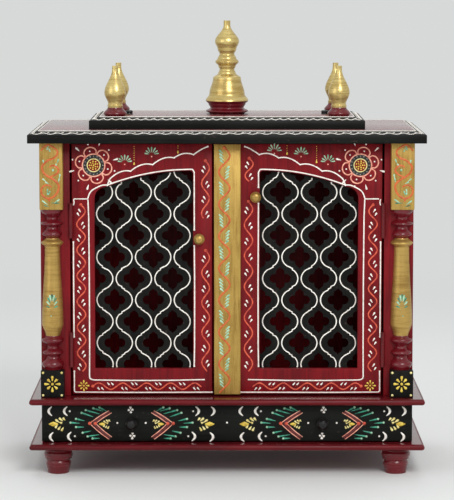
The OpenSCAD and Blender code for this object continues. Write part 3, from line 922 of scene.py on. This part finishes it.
for name, side in (("left", -1), ("right", 1)):
    low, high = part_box("post_" + name)
    axis = (low.x + high.x) / 2
    face = Ornament("post_" + name + "_relief", "cabinet", (axis, low.y, 0), mirror=-side)
    flower(face, "yellow", 0, 143, 12.6)
    for x in (-14.4, 14.4):
        for z in (125.4, 160.6):
            face.dot("cream", x, z, 4)
    stem = joined(scroll["stem"], 4)
    face.line("orange", stem, 3.4, ends=0.7)
    face.line("orange", joined(scroll["curl"], 4), 3.2, ends=0.6)
    face.line("orange", scroll["tail"], 2.8)
    face.line("coral", [(x - 0.9, z) for x, z in stem[2:-6]], 1.3, ends=0.3)
    for x, z, tilt in scroll["dabs"]:
        face.drop("mint", x, z, 6.6, tilt, 2.5)
    for x, z in scroll["dots"]:
        face.dot("mint", x, z, 4)
    for leaf in scroll["leaves"]:
        face.drop(*leaf)
    face.finish()

    rise = swell(outline(postKeys(*turnedEnds(low, high))))
    face = Ornament("baluster_" + name + "_relief", "cabinet", (axis, high.y, 0), rise=rise, mirror=-side)
    for step, colour in enumerate(balusterLeaf["colours"]):
        way = math.radians(balusterLeaf["start"] + balusterLeaf["step"] * step)
        x = math.cos(way) * balusterLeaf["wide"]
        z = balusterLeaf["height"] + math.sin(way) * balusterLeaf["tall"]
        face.dab(colour, x, z, -x * 0.62, (balusterLeaf["stem"] - z) * 0.42, balusterLeaf["stroke"])
    face.dot("mint", -1.2, 249, 2.2)
    face.finish()
print("posts: scrolls, leaves and flowers")

# height of the plates' upright edge, then how far the slope above it runs inwards and rises
bevel = {"face": 12.8, "run": 16.5, "rise": 5.7}
# places up the slope, and widths, of its waving line, its border and its dabs
edgeLook = {"waveUp": 6.2, "waveWide": 1.6, "borderDown": 0.8, "borderWide": 1.7, "borderSteps": 60,
            "dabUp": 11.6, "dabLong": 4.2, "dabWide": 1.6, "dabTilt": 215, "dabIn": 4}
edgeWaves = {"roof_plate": {"period": 22, "sway": 2.4, "dabStep": 11},
             "upper_roof_plate": {"period": 13, "sway": 2, "dabStep": 13}}
slant = math.hypot(bevel["run"], bevel["rise"])
for node, wave in edgeWaves.items():
    low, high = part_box(node)
    size = high - low
    for turn, name in enumerate(("front", "right", "back", "left")):
        rotation = Matrix.Rotation(turn * math.pi / 2, 3, "Z")
        right, inward = rotation @ Vector((1, 0, 0)), rotation @ Vector((0, 1, 0))
        wide, deep = (size.x, size.y) if turn % 2 == 0 else (size.y, size.x)
        half = wide / 2 / mm
        up = (inward * bevel["run"] + Vector((0, 0, bevel["rise"]))).normalized()
        edge = Ornament(node + "_" + name + "_relief", "cabinet",
                        -inward * (deep / 2) + Vector((0, 0, low.z + bevel["face"] * mm)), right, up)
        reach = half - bevel["run"] * 0.45
        count = int(2 * reach / 2)
        places = [-reach + 2 * reach * i / count for i in range(count + 1)]
        edge.line("white", [(x, edgeLook["waveUp"] + wave["sway"] * math.sin(math.tau * x / wave["period"]))
                            for x in places], edgeLook["waveWide"])
        top, steps = half - bevel["run"], edgeLook["borderSteps"]
        edge.line("white", [(-top + 2 * top * i / steps, slant - edgeLook["borderDown"])
                            for i in range(steps + 1)], edgeLook["borderWide"])
        for i in range(int(2 * (reach - edgeLook["dabIn"]) / wave["dabStep"]) + 1):
            edge.drop("white", -reach + edgeLook["dabIn"] + i * wave["dabStep"], edgeLook["dabUp"],
                      edgeLook["dabLong"], edgeLook["dabTilt"], edgeLook["dabWide"])
        edge.finish()
print("roof: painted edges")

# near the temple the floor takes light and shadow, and between near and far metres it turns to an
# even glow
stage = {"colour": (215, 217, 216), "nearColour": (240, 243, 242), "size": 120, "near": 1.1, "far": 2.6}


def seen(graph):
    # 1 for what the camera, a gloss or a glass sees, and 0 for what only lights the temple
    rays = graph.add("ShaderNodeLightPath", out="Is Camera Ray")
    return rays + rays.also("Is Glossy Ray") + rays.also("Is Transmission Ray")


def paleFloor():
    graph = Graph(bpy.data.materials.new("paleFloor"))
    place = graph.add("ShaderNodeTexCoord", out="Object")
    away = graph.add("ShaderNodeVectorMath", {"operation": "LENGTH"}, {0: place}, out="Value")
    matt = graph.add("ShaderNodeBsdfDiffuse", {}, {"Color": rgb(*stage["nearColour"])})
    glow = graph.add("ShaderNodeEmission", {}, {"Color": rgb(*stage["colour"]), "Strength": 1})
    both = graph.add("ShaderNodeMixShader", {},
                     {0: away.above(stage["near"], stage["far"]) * seen(graph), 1: matt, 2: glow})
    graph.add("ShaderNodeOutputMaterial", {}, {"Surface": both})
    return graph.owner


mesh = bmesh.new()
bmesh.ops.create_grid(mesh, x_segments=8, y_segments=8, size=stage["size"])
data = bpy.data.meshes.new("floor")
mesh.to_mesh(data)
mesh.free()
data.materials.append(paleFloor())
floor = bpy.data.objects.new("floor", data)
bpy.context.scene.collection.objects.link(floor)

ambient = {"strength": 0.5, "seen": (216, 218, 217)}
world = bpy.data.worlds.new("studio")
bpy.context.scene.world = world
graph = Graph(world)
soft = graph.add("ShaderNodeBackground", {}, {"Color": (1, 1, 1, 1), "Strength": ambient["strength"]})
shown = graph.add("ShaderNodeBackground", {}, {"Color": rgb(*ambient["seen"]), "Strength": 1})
both = graph.add("ShaderNodeMixShader", {}, {0: seen(graph), 1: soft, 2: shown})
graph.add("ShaderNodeOutputWorld", {}, {"Surface": both})

# places and aims in metres, power in watts
lamps = {
    "keyLamp": {"place": (0.9, -2.9, 2.3), "aim": (0, 0, 0.35), "size": 1.3, "power": 62},
    "fillLamp": {"place": (-2.4, -2.2, 1.3), "aim": (0, 0, 0.35), "size": 2, "power": 20},
    "topLamp": {"place": (0, 0.8, 3), "aim": (0, 0, 0.5), "size": 2.2, "power": 22},
}
for name, look in lamps.items():
    light = bpy.data.lights.new(name, "AREA")
    light.shape = "SQUARE"
    light.size = look["size"]
    light.energy = look["power"]
    lamp = bpy.data.objects.new(name, light)
    lamp.location = look["place"]
    lamp.rotation_euler = (Vector(look["aim"]) - Vector(look["place"])).to_track_quat("-Z", "Y").to_euler()
    bpy.context.scene.collection.objects.link(lamp)

# place in metres, tilt in degrees, lens and sensor in millimetres
view = {"place": (0, -3.8525, 0.7823), "down": 5.5, "lens": 175.14, "sensor": 36, "shift": -0.094}
camera = bpy.data.cameras.new("camera")
camera.lens = view["lens"]
camera.sensor_width = view["sensor"]
camera.shift_y = view["shift"]
camera.clip_end = 200
eye = bpy.data.objects.new("camera", camera)
eye.location = view["place"]
eye.rotation_euler = (math.radians(90 - view["down"]), 0, 0)
bpy.context.scene.collection.objects.link(eye)
bpy.context.scene.camera = eye
bpy.context.scene.view_settings.view_transform = "Standard"
print("stage: floor, lamps and camera")
